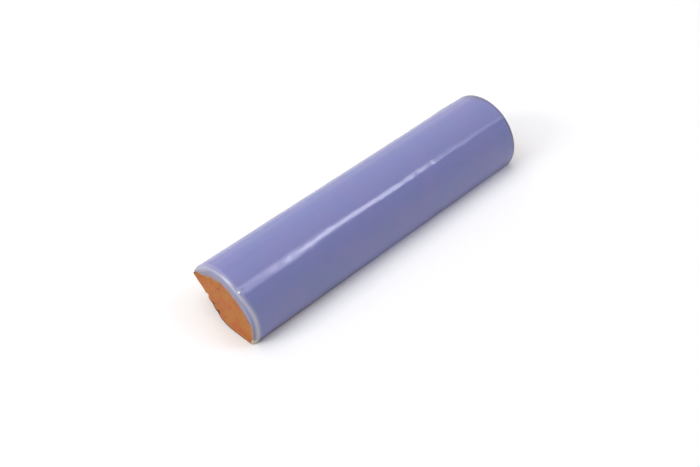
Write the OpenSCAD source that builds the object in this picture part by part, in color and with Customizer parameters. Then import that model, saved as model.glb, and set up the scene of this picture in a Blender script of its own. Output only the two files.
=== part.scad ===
// Pencil liner tile: a slim glazed trim tile of fired clay, lying on one of its two back facets.
// X runs along the tile, -Y is the side that the glazed arch leans to, Z is up.
// The origin is on the floor, under the middle of the tile's own box.

/* [Section] */
// Diameter of the glazed arch
arch_d = 25.4; // [18:0.2:40]
// How deep each flat back facet cuts into the arch's circle
facet_in = 6.9; // [3:0.1:8]
// Angle between the two back facets
keel_angle = 137.5; // [120:0.5:170]
// Radius of the blunt keel where the two facets meet
keel_r = 4; // [1:0.5:8]

/* [Length] */
// Overall length of the tile
tile_l = 104; // [40:0.5:305]

/* [Ends] */
// Radius of the rounded arris between the arch and each end
arris_r = 0.8; // [0.4:0.1:2]
// Width of the band of glaze that laps over each end, measured from the arris
lap_w = 1.6; // [0.5:0.1:3]
// How far that band stands proud of the bare clay
lap_h = 0.35; // [0.1:0.05:0.5]

/* [Hidden] */
$fn = 96;

arch_r = arch_d / 2;
// Height of the arch's axis over the facet that the tile lies on
axis_h = arch_r - facet_in;
// Turn from the resting facet to the raised one
facet_turn = 180 - keel_angle;
// Half the arc that one facet cuts off the arch's circle
facet_arc = acos(axis_h / arch_r);
// Turn from straight down to the corner where the raised facet meets the arch
far_corner = facet_turn + facet_arc;
// Reach of the section on the side of that corner
far_reach = arch_r * (far_corner > 90 ? sin(far_corner) : 1);
// Place of the arch's axis that centres the section over the origin
axis_y = (arch_r - far_reach) / 2;
// Distance of the sharp keel, and of the centre of its rounding, from the arch's axis
keel_d = axis_h / cos(facet_turn / 2);
keel_centre = (axis_h - keel_r) / cos(facet_turn / 2);
// Number of flats that make up the keel's rounding
keel_flats = 10;
// Radius of the bare clay that shows at each end
bare_r = arch_r - arris_r - lap_w;
// Reach of the blank that the back is cut from, past the arch on every side
blank_r = 2 * arch_r;

// Point at a distance from the arch's axis, at a turn from straight down towards the raised facet
function at_turn(turn, d) = d * [sin(turn), -cos(turn)];

// Half outline of the round rod, with its two rounded arrises: radius along X, length along Y
module rod_outline() {
    translate([0, arris_r])
        square([arch_r, tile_l - 2 * arris_r]);
    square([arch_r - arris_r, tile_l]);
    for (y = [arris_r, tile_l - arris_r])
        translate([arch_r - arris_r, y])
            circle(r = arris_r);
}

// Full round rod along X, centred on its own axis
module rod() {
    translate([-tile_l / 2, 0, 0])
        rotate([0, 90, 0])
            rotate_extrude()
                intersection() {
                    rod_outline();
                    square([arch_r, tile_l]);
                }
}

// Section inside both back facets and their blunt keel: Y across and Z up, open above the arch
module back_outline() {
    keel = at_turn(facet_turn / 2, keel_d);
    rounding = [
        for (i = [0:keel_flats])
            at_turn(facet_turn / 2, keel_centre) + at_turn(facet_turn * i / keel_flats, keel_r)
    ];
    polygon(concat(
        [[keel.x - blank_r, keel.y]],
        rounding,
        [
            keel + blank_r * [cos(facet_turn), sin(facet_turn)],
            [keel.x + blank_r, blank_r],
            [keel.x - blank_r, blank_r]
        ]
    ));
}

// Prism of that section, longer than the tile
module back_blank() {
    rotate([90, 0, 90])
        linear_extrude(height = tile_l + 2 * blank_r, center = true)
            back_outline();
}

// Shallow disc that leaves the lapped glaze standing round the bare clay at both ends
module bare_ends() {
    for (side = [-1, 1])
        translate([side * tile_l / 2, 0, 0])
            rotate([0, 90, 0])
                cylinder(r = bare_r, h = 2 * lap_h, center = true);
}

module liner_tile() {
    color("#8B8CC6")
        translate([0, axis_y, axis_h])
            difference() {
                intersection() {
                    rod();
                    back_blank();
                }
                bare_ends();
            }
}

liner_tile();
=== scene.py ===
import math

import bpy
import numpy as np
from mathutils import Matrix, Vector


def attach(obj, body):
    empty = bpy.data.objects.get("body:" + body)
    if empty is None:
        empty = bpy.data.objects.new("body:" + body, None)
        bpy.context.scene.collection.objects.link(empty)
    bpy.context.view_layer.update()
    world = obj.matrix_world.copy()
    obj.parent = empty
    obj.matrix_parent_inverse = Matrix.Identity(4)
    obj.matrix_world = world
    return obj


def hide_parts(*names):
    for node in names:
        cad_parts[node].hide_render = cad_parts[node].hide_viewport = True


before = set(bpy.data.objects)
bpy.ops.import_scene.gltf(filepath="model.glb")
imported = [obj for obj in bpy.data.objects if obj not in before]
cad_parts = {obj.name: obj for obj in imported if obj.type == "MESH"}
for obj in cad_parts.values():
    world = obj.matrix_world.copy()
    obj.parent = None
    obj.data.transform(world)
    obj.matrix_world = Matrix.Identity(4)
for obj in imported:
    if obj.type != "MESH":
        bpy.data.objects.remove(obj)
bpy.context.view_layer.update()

MM = 0.001

# Sizes in mm, as in the part
ARCH_R = 12.7
TILE_L = 104.0
HALF_L = TILE_L / 2
LAP_H = 0.35
# Place of the arch's axis, which is also its height over either facet
AXIS_Y = 0.2258
AXIS_Z = 5.8
# Turns about the axis, from straight down: the raised facet, and the back's corners with the arch
FACET_TURN = math.radians(42.5)
CORNER_A = FACET_TURN + math.acos(AXIS_Z / ARCH_R)
CORNER_B = 2 * math.pi - math.acos(AXIS_Z / ARCH_R)

# How far the keel and the two corners are rounded, in mm
KEEL_SOFT = 1.17
CORNER_A_SOFT = 0.5
CORNER_B_SOFT = 0.2
# Arris of the bare clay, how far the clay runs in under the glaze's lip, and the glaze band's swelling
BARE_ARRIS = 0.3
UNDERCUT = 0.1
CROWN = 0.12
# A facet faces away where its cosine falls to this, and is put this far off
FACES_AWAY = 0.15
FAR_OFF = 40.0

# Grid of the tile: columns round it, and rows of each stretch from one end to the other
FINE_TURNS = 7200
COLUMNS = 300
SIDE_ROWS = 190
ARRIS_ROWS = 12
BAND_ROWS = 11
LIP_ROWS = 5
NEAR_CLAY_ROWS = 52
FAR_CLAY_ROWS = 30

# Chips in the clay's edge at the near end: y and z from the axis, radius and depth in mm
CHIPS = (
    (7.15, -0.95, 0.5, 0.4),
    (4.86, -2.47, 0.55, 0.4),
    (2.77, -4.26, 0.6, 0.45),
    (1.74, 5.37, 0.3, 0.2),
)
# Bead in the glaze on the near arris, its top painted white as a highlight: turn in degrees, distance from
# the end, radius and height in mm
BEAD = (212.5, 0.75, 0.36, 0.16)
# Painted shadow beside it, on the bead's shaded side, in mm from the bead: place along the tile and round the
# arch, half length and half width
BEAD_SHADOW_SPOT = (1.2, -0.25, 0.6, 0.16)
# Swelling of the glaze near the far top corner: x, half length and height in mm
SWELLING = (43.0, 5.0, 0.2)
# Grey patch there, painted shade on the glaze near its top edge: x and half length in mm, and strength
GREY_SHADE_PATCH = (44.0, 6.0, 0.5)


# Curves

def soft_min(a, b, k):
    """Smaller of a and b, with a rounded change: min(a, b) - k h^2 / 4, h = max(0, (k - |a - b|) / k)."""
    h = np.clip((k - np.abs(a - b)) / k, 0, 1)
    return np.minimum(a, b) - k * h * h / 4


def smooth(x, low, high):
    """Smooth step: t^2 (3 - 2t), t = (x - low) / (high - low) held in 0..1."""
    t = np.clip((x - low) / (high - low), 0, 1)
    return t * t * (3 - 2 * t)


def past(turn, low, high):
    """Smooth step of a turn, between two turns in degrees."""
    return smooth(turn, math.radians(low), math.radians(high))


def bell(x, middle, width):
    """Bell curve: exp(-((x - middle) / width)^2)."""
    return np.exp(-((x - middle) / width) ** 2)


def round_spot(a, b, radius):
    """Round bell over two directions: exp(-(a^2 + b^2) / radius^2)."""
    return np.exp(-(a ** 2 + b ** 2) / radius ** 2)


def steps(rows):
    """Even steps from 1 / rows to 1, down a column."""
    return np.linspace(0, 1, rows + 1)[1:, None]


def by_turn(turn, degrees, values):
    """Value at each turn, on straight lines between a few turns in degrees, averaged over 7 degrees."""
    spots = [np.interp(np.degrees(turn) + shift, degrees, values) for shift in (-3.5, -1.2, 1.2, 3.5)]
    return sum(spots) / len(spots)


def waves(u, v, seed, count, shortest, longest):
    """Plane waves over (u, v): sum of sin(k . (u, v) + phase) over count waves, divided by sqrt(count).
    The wavelengths lie between shortest and longest."""
    rng = np.random.default_rng(seed)
    length = rng.uniform(shortest, longest, count)
    heading = rng.uniform(0, 2 * math.pi, count)
    phase = rng.uniform(0, 2 * math.pi, count)
    total = np.zeros(np.broadcast(u, v).shape)
    for wave, way, start in zip(length, heading, phase):
        across = u * math.cos(way) + v * math.sin(way)
        total = total + np.sin(across * 2 * math.pi / wave + start)
    return total / math.sqrt(count)


# Section and ends

def facet(turn, middle):
    """Distance from the axis to a flat facet: AXIS_Z / cos(turn - middle), far off where it faces away."""
    facing = np.cos(turn - middle)
    return np.where(facing > FACES_AWAY, AXIS_Z / np.maximum(facing, FACES_AWAY), FAR_OFF)


def section(turn):
    """Reach of the section: the arch's radius, cut by the resting facet (turn 0) and the raised one."""
    back = soft_min(facet(turn, 0.0), facet(turn, FACET_TURN), KEEL_SOFT)
    corner_soft = np.where(turn > math.pi, CORNER_B_SOFT, CORNER_A_SOFT)
    return soft_min(np.full_like(turn, ARCH_R), back, corner_soft)


def column_turns():
    """Turns of the columns: even in distance along the section, read off a running sum of short steps."""
    fine = np.linspace(0, 2 * math.pi, FINE_TURNS + 1)
    reach = section(fine)
    step = np.hypot(np.diff(reach * np.sin(fine)), np.diff(reach * np.cos(fine)))
    run = np.concatenate([[0], np.cumsum(step)])
    return np.interp(np.arange(COLUMNS) / COLUMNS * run[-1], run, fine)[None, :]


def glaze_cover(turn):
    """1 on the glazed arch and 0 on the bare back, with a smooth change at both corners."""
    starts = smooth(turn, CORNER_A - 0.02, CORNER_A + 0.1)
    stops = smooth(turn, CORNER_B - 0.05, CORNER_B + 0.03)
    return starts * (1 - stops)


def arris_path(rows):
    """Profile of an arris from the side (0, 0) to the end (1, 1), nearly a chamfer with rounded shoulders.
    It is the running sums of cos(a) and sin(a) over u from -1 to 1, a = 45 degrees (1 + 0.3 u + 0.7 u^3)."""
    fineness = 16
    u = np.linspace(-1, 1, fineness * rows + 1)
    mid = (u[1:] + u[:-1]) / 2
    slope = math.pi / 4 * (1 + 0.3 * mid + 0.7 * mid ** 3)
    along = np.concatenate([[0], np.cumsum(np.cos(slope))])[::fineness]
    inward = np.concatenate([[0], np.cumsum(np.sin(slope))])[::fineness]
    return (along / along[-1])[1:, None], (inward / inward[-1])[1:, None]


def near_end(turn):
    """Sizes in mm round the near end, each on lines between a few turns: the arris along the tile and
    inwards, the glazed width from the side to the clay, how far the glaze is set back, and how deep the
    clay's edge lies. The width also has a wobble, a sum of three sines of the turn."""
    along = by_turn(turn, (104, 118, 140, 205, 245, 300), (0.3, 0.5, 0.8, 0.8, 1.5, 1.5))
    inward = by_turn(turn, (104, 118, 135, 155, 180, 300), (0.2, 0.4, 1.4, 1.3, 0.9, 0.8))
    glazed = by_turn(
        turn,
        (106, 113, 120, 126, 133, 160, 188, 216, 243, 255, 266, 277, 288, 300),
        (0.2, 0.3, 0.8, 1.6, 3.0, 3.5, 3.4, 3.4, 3.2, 2.5, 1.9, 1.3, 1.1, 1.2),
    )
    wobble = 0.1 * np.sin(9 * turn + 0.6) + 0.09 * np.sin(17 * turn + 2.0) + 0.08 * np.sin(31 * turn)
    set_back = 0.35 * past(turn, 212, 255)
    bare = by_turn(
        turn,
        (0, 10, 20, 45, 70, 95, 104, 120, 235, 250, 265, 280, 298, 312, 330, 350, 360),
        (-0.2, -0.1, 0.1, 0.2, 0.25, 0.45, 0.3, 0.4, 0.4, 0.75, 0.6, 0.4, 0.1, -0.2, -0.35, -0.3, -0.2),
    )
    return along, inward, glazed + wobble * smooth(glazed, 0.6, 2.0), set_back, bare


def far_end(turn):
    """The same sizes at the far end, even but for a wobble of two sines in the glazed width."""
    same = np.ones_like(turn)
    wobble = 0.12 * np.sin(7 * turn + 1.6) + 0.08 * np.sin(15 * turn)
    return 0.8 * same, 0.8 * same, 2.4 * same + wobble, 0 * same, LAP_H * same


def end_rows(turn, rho, cover, side, sizes, clay_rows):
    """Rows of one end, from the side to near the axis. x is the end's level less the depth there, and the
    reach runs from the section inwards: over the arris, across the glaze band, down its lip and over the
    clay. Each stretch gives x, reach, depth inside the glaze's edge and paleness of the rim, which is pale
    thin glaze with a painted highlight at the near end and painted shade at the far one."""
    along, inward, glazed, set_back, bare = sizes(turn)
    along = BARE_ARRIS + (along - BARE_ARRIS) * cover
    inward = BARE_ARRIS + (inward - BARE_ARRIS) * cover
    band = np.maximum(glazed - inward, 0) * cover
    sink = set_back * cover + bare * (1 - cover)
    # The lip has its full height only where the glaze is wide
    lip_high = LAP_H * cover * smooth(glazed, 0.4, 1.6)
    clay_level = np.maximum(bare, sink + lip_high)
    level = side * HALF_L
    # Distance over the arris for each radian that it turns
    over_arris = 1.2 * inward

    # Paleness: positive on the near rim, pale thin glaze with a painted highlight, negative on the far one,
    # painted shade, strongest at peak
    strength = -0.9 * side * (0.65 + 0.35 * past(turn, 160, 185))
    wide = 0.55 + 0.5 * (1 - past(turn, 140, 165))
    peak = 0.9 - 0.45 * past(turn, 200, 250)

    phi = steps(ARRIS_ROWS) * math.pi / 2
    out_share, in_share = arris_path(ARRIS_ROWS)
    arris = (
        level - side * (sink + along * (1 - out_share)),
        rho - inward * in_share,
        band + over_arris * (math.pi / 2 - phi),
        strength * cover * bell(phi, peak, wide),
    )

    v = steps(BAND_ROWS)
    crown = CROWN * cover * np.sin(math.pi * v) * smooth(band, 0, 1)
    glaze_band = (
        level - side * (sink - crown),
        rho - inward - band * v,
        band * (1 - v),
        strength * cover * np.maximum(0.2, bell(math.pi / 2 - peak + band * v, 0, wide)),
    )

    s = steps(LIP_ROWS)
    lip = (
        level - side * (sink + (clay_level - sink) * s * s * (3 - 2 * s)),
        rho - inward - band - UNDERCUT * cover * s,
        -0.1 * s + 0 * band,
        0 * s * band,
    )

    t = steps(clay_rows)[:-1]
    edge = rho - inward - band - UNDERCUT * cover
    reach = edge * (1 - t)
    y = reach * np.sin(turn)
    z = -reach * np.cos(turn)
    small = waves(y, z, seed=5 + side, count=14, shortest=0.8, longest=3.5)
    broad = waves(y, z, seed=15 + side, count=8, shortest=3.0, longest=9.0)
    grain = 0.05 * small + 0.05 * broad
    middle_level = LAP_H + 0.05
    settled = clay_level + (middle_level - clay_level) * smooth(t, 0, 0.6)
    clay = (
        level - side * (settled + grain * smooth(t, 0, 0.12)),
        reach,
        -0.1 - edge * t,
        0 * reach,
    )
    return [arris, glaze_band, lip, clay], sink, along, band + over_arris * math.pi / 2


# Whole tile

def side_rows(turn, rho, cover, x_low, x_high, near_glaze, far_glaze):
    """Rows of the side: x = x_low + (x_high - x_low) t, closer together at the ends, where
    t = s - 0.6 sin(2 pi s) / (2 pi) for even steps s. The reach is the section's, plus slow waves and one
    swelling on the glazed arch, faded out at both ends."""
    s = np.linspace(0, 1, SIDE_ROWS)[:, None]
    t = s - 0.6 * np.sin(2 * math.pi * s) / (2 * math.pi)
    x = x_low + (x_high - x_low) * t
    arc = ARCH_R * turn
    slow = waves(x, arc, seed=3, count=12, shortest=9, longest=26)
    quick = waves(x, arc, seed=4, count=16, shortest=2.5, longest=6)
    swell_x, swell_long, swell_high = SWELLING
    swelling = swell_high * bell(x, swell_x, swell_long) * (1 - past(turn, 128, 150))
    lift = 0.025 * slow + 0.007 * quick + swelling
    reach = rho + cover * lift * smooth(t, 0, 0.03) * (1 - smooth(t, 0.97, 1))

    # Paleness: a thin line at the near rim, pale thin glaze with a painted highlight, and painted shade in
    # grey at the far one and on a patch by its top corner
    from_near = x - x_low
    from_far = x_high - x
    far_width = 1.9 - 1.5 * past(turn, 160, 190)
    patch_x, patch_long, patch_strength = GREY_SHADE_PATCH
    patch = patch_strength * (bell(x, patch_x, patch_long) * (1 - past(turn, 122, 142)))
    far_shade = np.maximum(0.85 * bell(from_far, 0, far_width), patch)
    pale = cover * (0.3 * bell(from_near, 0, 0.4) - far_shade)
    return x, reach, np.minimum(from_near + near_glaze, from_far + far_glaze), pale


def tile_surface():
    """The whole tile as one grid: columns go round the axis, rows from one end's middle along the side to the
    other. A point is (x, AXIS_Y + reach sin(turn), AXIS_Z - reach cos(turn)), dented and raised by bells."""
    turn = column_turns()
    rho = section(turn)
    cover = glaze_cover(turn)
    near, near_sink, near_along, near_glaze = end_rows(turn, rho, cover, -1, near_end, NEAR_CLAY_ROWS)
    far, far_sink, far_along, far_glaze = end_rows(turn, rho, cover, 1, far_end, FAR_CLAY_ROWS)
    x_low = -HALF_L + near_sink + near_along
    x_high = HALF_L - far_sink - far_along
    side = side_rows(turn, rho, cover, x_low, x_high, near_glaze, far_glaze)
    order = [tuple(a[::-1] for a in stretch) for stretch in near[::-1]] + [side] + far
    x, reach, end_depth, pale = [
        np.concatenate([np.broadcast_to(a[i], (a[i].shape[0], COLUMNS)) for a in order])
        for i in range(4)
    ]

    # Chips, with painted shade in them, and a painted contact shade along the line where the clay rests on
    # the floor
    y = reach * np.sin(turn)
    z = -reach * np.cos(turn)
    near_zone = smooth(-x, HALF_L - 2.0, HALF_L - 1.0)
    chip_and_edge_shade = np.zeros_like(x)
    for chip_y, chip_z, radius, deep in CHIPS:
        dent = near_zone * round_spot(y - chip_y, z - chip_z, radius)
        x = x + deep * dent
        chip_and_edge_shade = chip_and_edge_shade + dent
    resting = smooth(np.cos(turn), 0.45, 0.6) * smooth(-x, HALF_L - 1.2, HALF_L - 0.6)
    chip_and_edge_shade = chip_and_edge_shade + resting * bell(rho - reach, 0, 0.75)

    # Bead, and the painted shadow spot beside it
    bead_turn, bead_x, radius, high = BEAD
    off_x = x + HALF_L - bead_x
    off_arc = (turn - math.radians(bead_turn)) * ARCH_R
    on_arch = smooth(reach, ARCH_R - 1.5, ARCH_R - 0.8)
    bead = on_arch * round_spot(off_x, off_arc, radius)
    reach = reach + high * bead
    shadow_x, shadow_arc, half_long, half_wide = BEAD_SHADOW_SPOT
    bead_shadow = on_arch * bell(off_x, shadow_x, half_long) * bell(off_arc, shadow_arc, half_wide)

    around = np.minimum((turn - CORNER_A) * ARCH_R, (CORNER_B - turn) * ARCH_R)
    depth = np.minimum(end_depth, around + 0.1)
    grid = np.stack([x, AXIS_Y + reach * np.sin(turn), AXIS_Z - reach * np.cos(turn)], axis=-1)
    # The bead layer holds the painted highlight on the bead and, below 0, the painted shadow beside it
    return grid, {"glaze_depth": depth, "rim": pale, "chip_and_edge_shade": chip_and_edge_shade, "bead": bead - bead_shadow}


def closed_mesh(name, grid, layers):
    """Mesh of a grid that wraps round its columns, with one point at the middle of each end.
    Square (row, col) joins that point to the next column and row, and a fan closes each end."""
    rows, cols, _ = grid.shape
    near_middle = [[grid[0, :, 0].mean(), AXIS_Y, AXIS_Z]]
    far_middle = [[grid[-1, :, 0].mean(), AXIS_Y, AXIS_Z]]
    points = np.concatenate([grid.reshape(-1, 3), near_middle, far_middle]) * MM
    col = np.arange(cols)
    after = (col + 1) % cols
    start = np.arange(rows - 1)[:, None] * cols
    corners = (start + col, start + after, start + cols + after, start + cols + col)
    squares = np.stack(corners, axis=-1).reshape(-1, 4)
    last_row = (rows - 1) * cols
    near_point = rows * cols
    near_fan = np.stack([np.full(cols, near_point), after, col], axis=-1)
    far_fan = np.stack([np.full(cols, near_point + 1), last_row + col, last_row + after], axis=-1)
    mesh = bpy.data.meshes.new(name)
    mesh.from_pydata(points.tolist(), [], squares.tolist() + near_fan.tolist() + far_fan.tolist())
    for key, values in layers.items():
        flat = np.concatenate([values.reshape(-1), [values[0].mean(), values[-1].mean()]])
        attribute = mesh.attributes.new(key, "FLOAT", "POINT")
        attribute.data.foreach_set("value", flat.astype(np.float32))
    mesh.shade_smooth()
    mesh.update()
    return mesh


grid, layers = tile_surface()
tile = bpy.data.objects.new("glazed_liner", closed_mesh("glazed_liner", grid, layers))
bpy.context.scene.collection.objects.link(tile)
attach(tile, "root")
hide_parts("liner_tile")


# Nodes

def add(tree, kind, **inputs):
    """New node, with constants for its inputs or links into them. i0, i1 and so on give an input's number."""
    node = tree.nodes.new(kind)
    for key, value in inputs.items():
        numbered = key[0] == "i" and key[1:].isdigit()
        socket = node.inputs[int(key[1:]) if numbered else key.replace("_", " ")]
        if isinstance(value, bpy.types.NodeSocket):
            tree.links.new(value, socket)
        else:
            socket.default_value = value
    return node


def remap(tree, value, low, high, out_low=0.0, out_high=1.0, kind="SMOOTHSTEP"):
    """Map Range node's result: value from low..high to out_low..out_high."""
    node = add(tree, "ShaderNodeMapRange", i0=value, i1=low, i2=high, i3=out_low, i4=out_high)
    node.interpolation_type = kind
    return node.outputs[0]


def mix(tree, factor, a, b):
    """Colour mix: a at 0, b at 1."""
    node = tree.nodes.new("ShaderNodeMix")
    node.data_type = "RGBA"
    for number, value in ((0, factor), (6, a), (7, b)):
        if isinstance(value, bpy.types.NodeSocket):
            tree.links.new(value, node.inputs[number])
        else:
            node.inputs[number].default_value = (*value, 1.0)
    return node.outputs[2]


def calc(tree, operation, a, b):
    """Math node's result."""
    node = add(tree, "ShaderNodeMath", i0=a, i1=b)
    node.operation = operation
    return node.outputs[0]


def noise(tree, place, scale, detail):
    """Noise texture's value."""
    return add(tree, "ShaderNodeTexNoise", Vector=place, Scale=scale, Detail=detail).outputs["Fac"]


def layer(tree, name):
    """Value of one of the mesh's own layers."""
    node = tree.nodes.new("ShaderNodeAttribute")
    node.attribute_name = name
    return node.outputs["Fac"]


# Glazed clay material

# Colours of the glaze
LAVENDER = (0.214, 0.234, 0.478)
WARM_LAVENDER = (0.234, 0.232, 0.484)
THIN_STAIN = (0.21, 0.155, 0.20)
# Pale thin glaze on the near rim, with a painted highlight in it
PALE_RIM_AND_HIGHLIGHT = (0.56, 0.56, 0.62)
# Painted shade on the far rim and on the patch by its top corner
GREY_RIM_SHADE = (0.17, 0.17, 0.20)
STRAW = (0.66, 0.62, 0.44)
# Painted shadow beside the bead
BEAD_SHADOW_DARK = (0.05, 0.05, 0.10)
# Painted highlight on the bead
BEAD_HIGHLIGHT = (0.97, 0.97, 0.98)
# Colours of the clay
TERRACOTTA = (0.53, 0.152, 0.045)
OCHRE = (0.52, 0.210, 0.050)
SPECK = (0.26, 0.09, 0.03)
GOLDEN = (0.55, 0.29, 0.055)
# Painted shadow cast by the glaze's lip on the clay
LIP_SHADOW = (0.16, 0.07, 0.04)
# Painted shade in the chips and along the clay's resting edge
CHIP_SHADE = (0.07, 0.03, 0.015)
# Roughness of each, and the height of the bump in metres
GLAZE_ROUGH = 0.12
CLAY_ROUGH = 0.9
BUMP_HIGH = 0.00015


def glaze_colour(tree, axes, depth_mm, cloud):
    """Lavender glaze: stained where it is thin, pale on the near rim as thin glaze with a painted highlight,
    grey on the far one as painted shade, with its bead painted white as a highlight and a painted shadow
    beside it.
    """
    body = mix(tree, remap(tree, cloud, 0.35, 0.65), LAVENDER, WARM_LAVENDER)
    near_half = remap(tree, axes["X"], 0.0, -0.04)
    thin = calc(tree, "MULTIPLY", remap(tree, depth_mm, 0.4, 2.8, 0.95, 0.0), near_half)
    stained = mix(tree, thin, body, THIN_STAIN)
    rim = layer(tree, "rim")
    # Near rim: pale thin glaze with a painted highlight; far rim and patch: painted shade in grey
    near_rim = mix(tree, remap(tree, rim, 0.0, 1.0, 0.0, 0.95, "LINEAR"), stained, PALE_RIM_AND_HIGHLIGHT)
    both_rims = mix(tree, remap(tree, rim, 0.0, -1.0, 0.0, 0.9, "LINEAR"), near_rim, GREY_RIM_SHADE)
    at_end = remap(tree, axes["X"], -0.0502, -0.0510)
    at_floor = remap(tree, axes["Z"], 0.0026, 0.0014)
    low_corner = calc(tree, "MULTIPLY", calc(tree, "MULTIPLY", at_end, at_floor), 0.8)
    corner = mix(tree, low_corner, both_rims, STRAW)
    bead_paint = layer(tree, "bead")
    # Painted shadow beside the bead, then the bead's top painted white as a highlight
    bead_shaded = mix(tree, remap(tree, bead_paint, -0.2, -0.7, 0.0, 0.6), corner, BEAD_SHADOW_DARK)
    return mix(tree, remap(tree, bead_paint, 0.35, 0.7), bead_shaded, BEAD_HIGHLIGHT)


def clay_colour(tree, depth_mm, cloud, grain, patch):
    """Terracotta: speckled, golden beside the glaze, with painted shade under its lip, in the chips and along
    its resting edge.
    """
    clay = mix(tree, remap(tree, patch, 0.3, 0.7), TERRACOTTA, OCHRE)
    speckled = mix(tree, remap(tree, grain, 0.34, 0.46, 0.35, 0.0), clay, SPECK)
    by_glaze = calc(tree, "MULTIPLY", remap(tree, depth_mm, -1.3, -0.2), remap(tree, patch, 0.35, 0.65))
    golden = mix(tree, by_glaze, speckled, GOLDEN)
    broken = remap(tree, cloud, 0.42, 0.58, 0.2, 0.8)
    # Painted shadow under the glaze's lip, broken up by the cloud
    lip_shadow = calc(tree, "MULTIPLY", remap(tree, depth_mm, -0.35, -0.08), broken)
    lip_shaded = mix(tree, lip_shadow, golden, LIP_SHADOW)
    # Painted shade in the chips and along the resting edge
    chip_shaded = remap(tree, layer(tree, "chip_and_edge_shade"), 0.15, 0.65, 0.0, 0.85)
    return mix(tree, chip_shaded, lip_shaded, CHIP_SHADE)


def glazed_clay():
    """Glossy glaze over matt clay: the glaze is where glaze_depth, made ragged by the grain, is over 0."""
    mat = bpy.data.materials.new("glazed_clay")
    mat.use_nodes = True
    tree = mat.node_tree
    tree.nodes.clear()
    place = add(tree, "ShaderNodeTexCoord").outputs["Object"]
    axes = add(tree, "ShaderNodeSeparateXYZ", Vector=place).outputs
    depth_mm = layer(tree, "glaze_depth")
    cloud = noise(tree, place, scale=110.0, detail=2.0)
    grain = noise(tree, place, scale=1400.0, detail=5.0)
    patch = noise(tree, place, scale=330.0, detail=3.0)
    ripple = noise(tree, place, scale=450.0, detail=2.0)
    uneven = calc(tree, "MULTIPLY", calc(tree, "SUBTRACT", grain, 0.5), 0.3)
    glazed = remap(tree, calc(tree, "ADD", depth_mm, uneven), -0.05, 0.08)

    glaze = glaze_colour(tree, axes, depth_mm, cloud)
    clay = clay_colour(tree, depth_mm, cloud, grain, patch)
    colour = mix(tree, glazed, clay, glaze)
    rough = remap(tree, glazed, 0.0, 1.0, CLAY_ROUGH, GLAZE_ROUGH, "LINEAR")
    clay_height = calc(tree, "MULTIPLY", grain, remap(tree, glazed, 0.0, 1.0, 1.0, 0.0, "LINEAR"))
    glaze_height = calc(tree, "MULTIPLY", ripple, remap(tree, glazed, 0.0, 1.0, 0.0, 0.3, "LINEAR"))
    height = calc(tree, "ADD", clay_height, glaze_height)
    bump = add(tree, "ShaderNodeBump", Strength=1.0, Distance=BUMP_HIGH, Height=height).outputs[0]
    shader = add(tree, "ShaderNodeBsdfPrincipled", Base_Color=colour, Roughness=rough, Normal=bump)
    add(tree, "ShaderNodeOutputMaterial", Surface=shader.outputs[0])
    return mat


tile.data.materials.append(glazed_clay())


# Floor

FLOOR_HALF = 3.0
# Distances in metres over which the floor turns plain white, past the lamps' reach
WHITE_FROM = 0.3
WHITE_TO = 0.9


def neutral(level):
    """Grey of one level."""
    return (level, level, level)


def floor_white():
    """Matt white floor. The camera sees it a little brighter than the light that it throws on the tile."""
    mat = bpy.data.materials.new("floor_white")
    mat.use_nodes = True
    tree = mat.node_tree
    shader = tree.nodes["Principled BSDF"]
    shader.inputs["Roughness"].default_value = 1.0
    shader.inputs["Specular IOR Level"].default_value = 0.0
    shader.inputs["Emission Strength"].default_value = 1.0
    seen = add(tree, "ShaderNodeLightPath").outputs["Is Camera Ray"]
    distance = add(tree, "ShaderNodeVectorMath", i0=add(tree, "ShaderNodeTexCoord").outputs["Object"])
    distance.operation = "LENGTH"
    away = remap(tree, distance.outputs["Value"], WHITE_FROM, WHITE_TO)
    tone = mix(tree, seen, neutral(0.85), mix(tree, away, neutral(0.95), neutral(0.0)))
    glow = mix(tree, seen, neutral(0.0), mix(tree, away, neutral(0.04), neutral(1.0)))
    tree.links.new(tone, shader.inputs["Base Color"])
    tree.links.new(glow, shader.inputs["Emission Color"])
    return mat


floor_mesh = bpy.data.meshes.new("floor")
floor_corners = [
    (-FLOOR_HALF, -FLOOR_HALF, 0.0),
    (FLOOR_HALF, -FLOOR_HALF, 0.0),
    (FLOOR_HALF, FLOOR_HALF, 0.0),
    (-FLOOR_HALF, FLOOR_HALF, 0.0),
]
floor_mesh.from_pydata(floor_corners, [], [(0, 1, 2, 3)])
floor_mesh.materials.append(floor_white())
floor = bpy.data.objects.new("floor", floor_mesh)
bpy.context.scene.collection.objects.link(floor)


# Lamps

PLAIN = (1.0, 1.0, 1.0)
COOL = (0.86, 0.85, 1.0)


def lamp(name, place, width, height, radiance, colour=PLAIN):
    """Area light at place in metres, aimed at the tile, its width as near to X as it can be.
    Its energy is radiance times pi times its area."""
    data = bpy.data.lights.new(name, "AREA")
    data.shape = "RECTANGLE"
    data.size = width
    data.size_y = height
    data.energy = radiance * math.pi * width * height
    data.color = colour
    light = bpy.data.objects.new(name, data)
    back = Vector(place).normalized()
    across = Vector((1, 0, 0)) - back * back.x
    across.normalize()
    up = back.cross(across)
    light.matrix_world = Matrix((across, up, back)).transposed().to_4x4()
    light.location = place
    bpy.context.scene.collection.objects.link(light)


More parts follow.
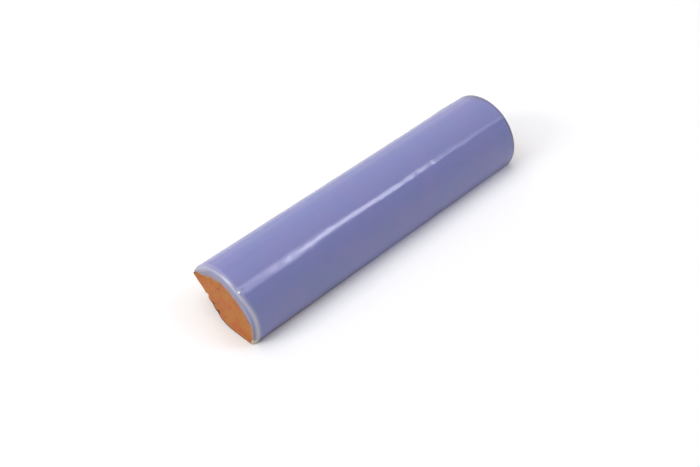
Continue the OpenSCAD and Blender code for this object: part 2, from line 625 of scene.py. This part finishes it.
# Each lamp's name, place, width, height, radiance and colour
lamp("strip_light", (0.585, -0.465, 0.92), 0.23, 0.19, 8.7, COOL)
lamp("strip_tail", (0.80, -0.54, 0.92), 0.24, 0.13, 2.6, COOL)
lamp("window_light", (0.42, -0.47, 0.92), 0.20, 0.40, 3.1, COOL)
lamp("top_light", (0.2, 0.10, 1.18), 2.2, 1.30, 0.66)
lamp("top_left_light", (-0.35, 0.27, 1.15), 1.5, 0.95, 2.0)
lamp("back_light", (0.3, 1.05, 0.55), 2.4, 1.0, 0.70)
lamp("side_light", (0.3, -1.0, 0.38), 2.4, 0.80, 0.24)
lamp("rim_light", (-0.94, 0.27, 0.63), 0.24, 0.50, 10.5)


# World

# The camera sees plain white. The tile gets a soft glow from the horizon, which fades out upwards.
world = bpy.data.worlds.new("studio")
bpy.context.scene.world = world
world.use_nodes = True
sky = world.node_tree
sky.nodes.clear()
heading = add(sky, "ShaderNodeTexCoord").outputs["Generated"]
up = add(sky, "ShaderNodeSeparateXYZ", Vector=heading).outputs["Z"]
near_horizon = remap(sky, up, 0.0, 0.45, 0.42, 0.0)
soft = add(sky, "ShaderNodeBackground", Color=(*PLAIN, 1.0), Strength=near_horizon)
white = add(sky, "ShaderNodeBackground", Color=(*PLAIN, 1.0), Strength=1.0)
seen = add(sky, "ShaderNodeLightPath").outputs["Is Camera Ray"]
pick = add(sky, "ShaderNodeMixShader", i0=seen, i1=soft.outputs[0], i2=white.outputs[0])
add(sky, "ShaderNodeOutputWorld", Surface=pick.outputs[0])


# Camera

CAMERA_AT_MM = (-151.66, -149.68, 207.75)
BEARING = math.radians(44.208)
DIP = math.radians(44.647)

cam_data = bpy.data.cameras.new("camera")
cam_data.sensor_width = 36.0
cam_data.lens = 52.862
cam_data.clip_start = 0.01
cam_data.clip_end = 20.0
camera = bpy.data.objects.new("camera", cam_data)
bpy.context.scene.collection.objects.link(camera)
camera.location = Vector(CAMERA_AT_MM) * MM
camera.rotation_mode = "QUATERNION"
forward = Vector((math.sin(BEARING) * math.cos(DIP), math.cos(BEARING) * math.cos(DIP), -math.sin(DIP)))
camera.rotation_quaternion = (-forward).to_track_quat("Z", "Y")
bpy.context.scene.camera = camera
bpy.context.scene.view_settings.view_transform = "Standard"
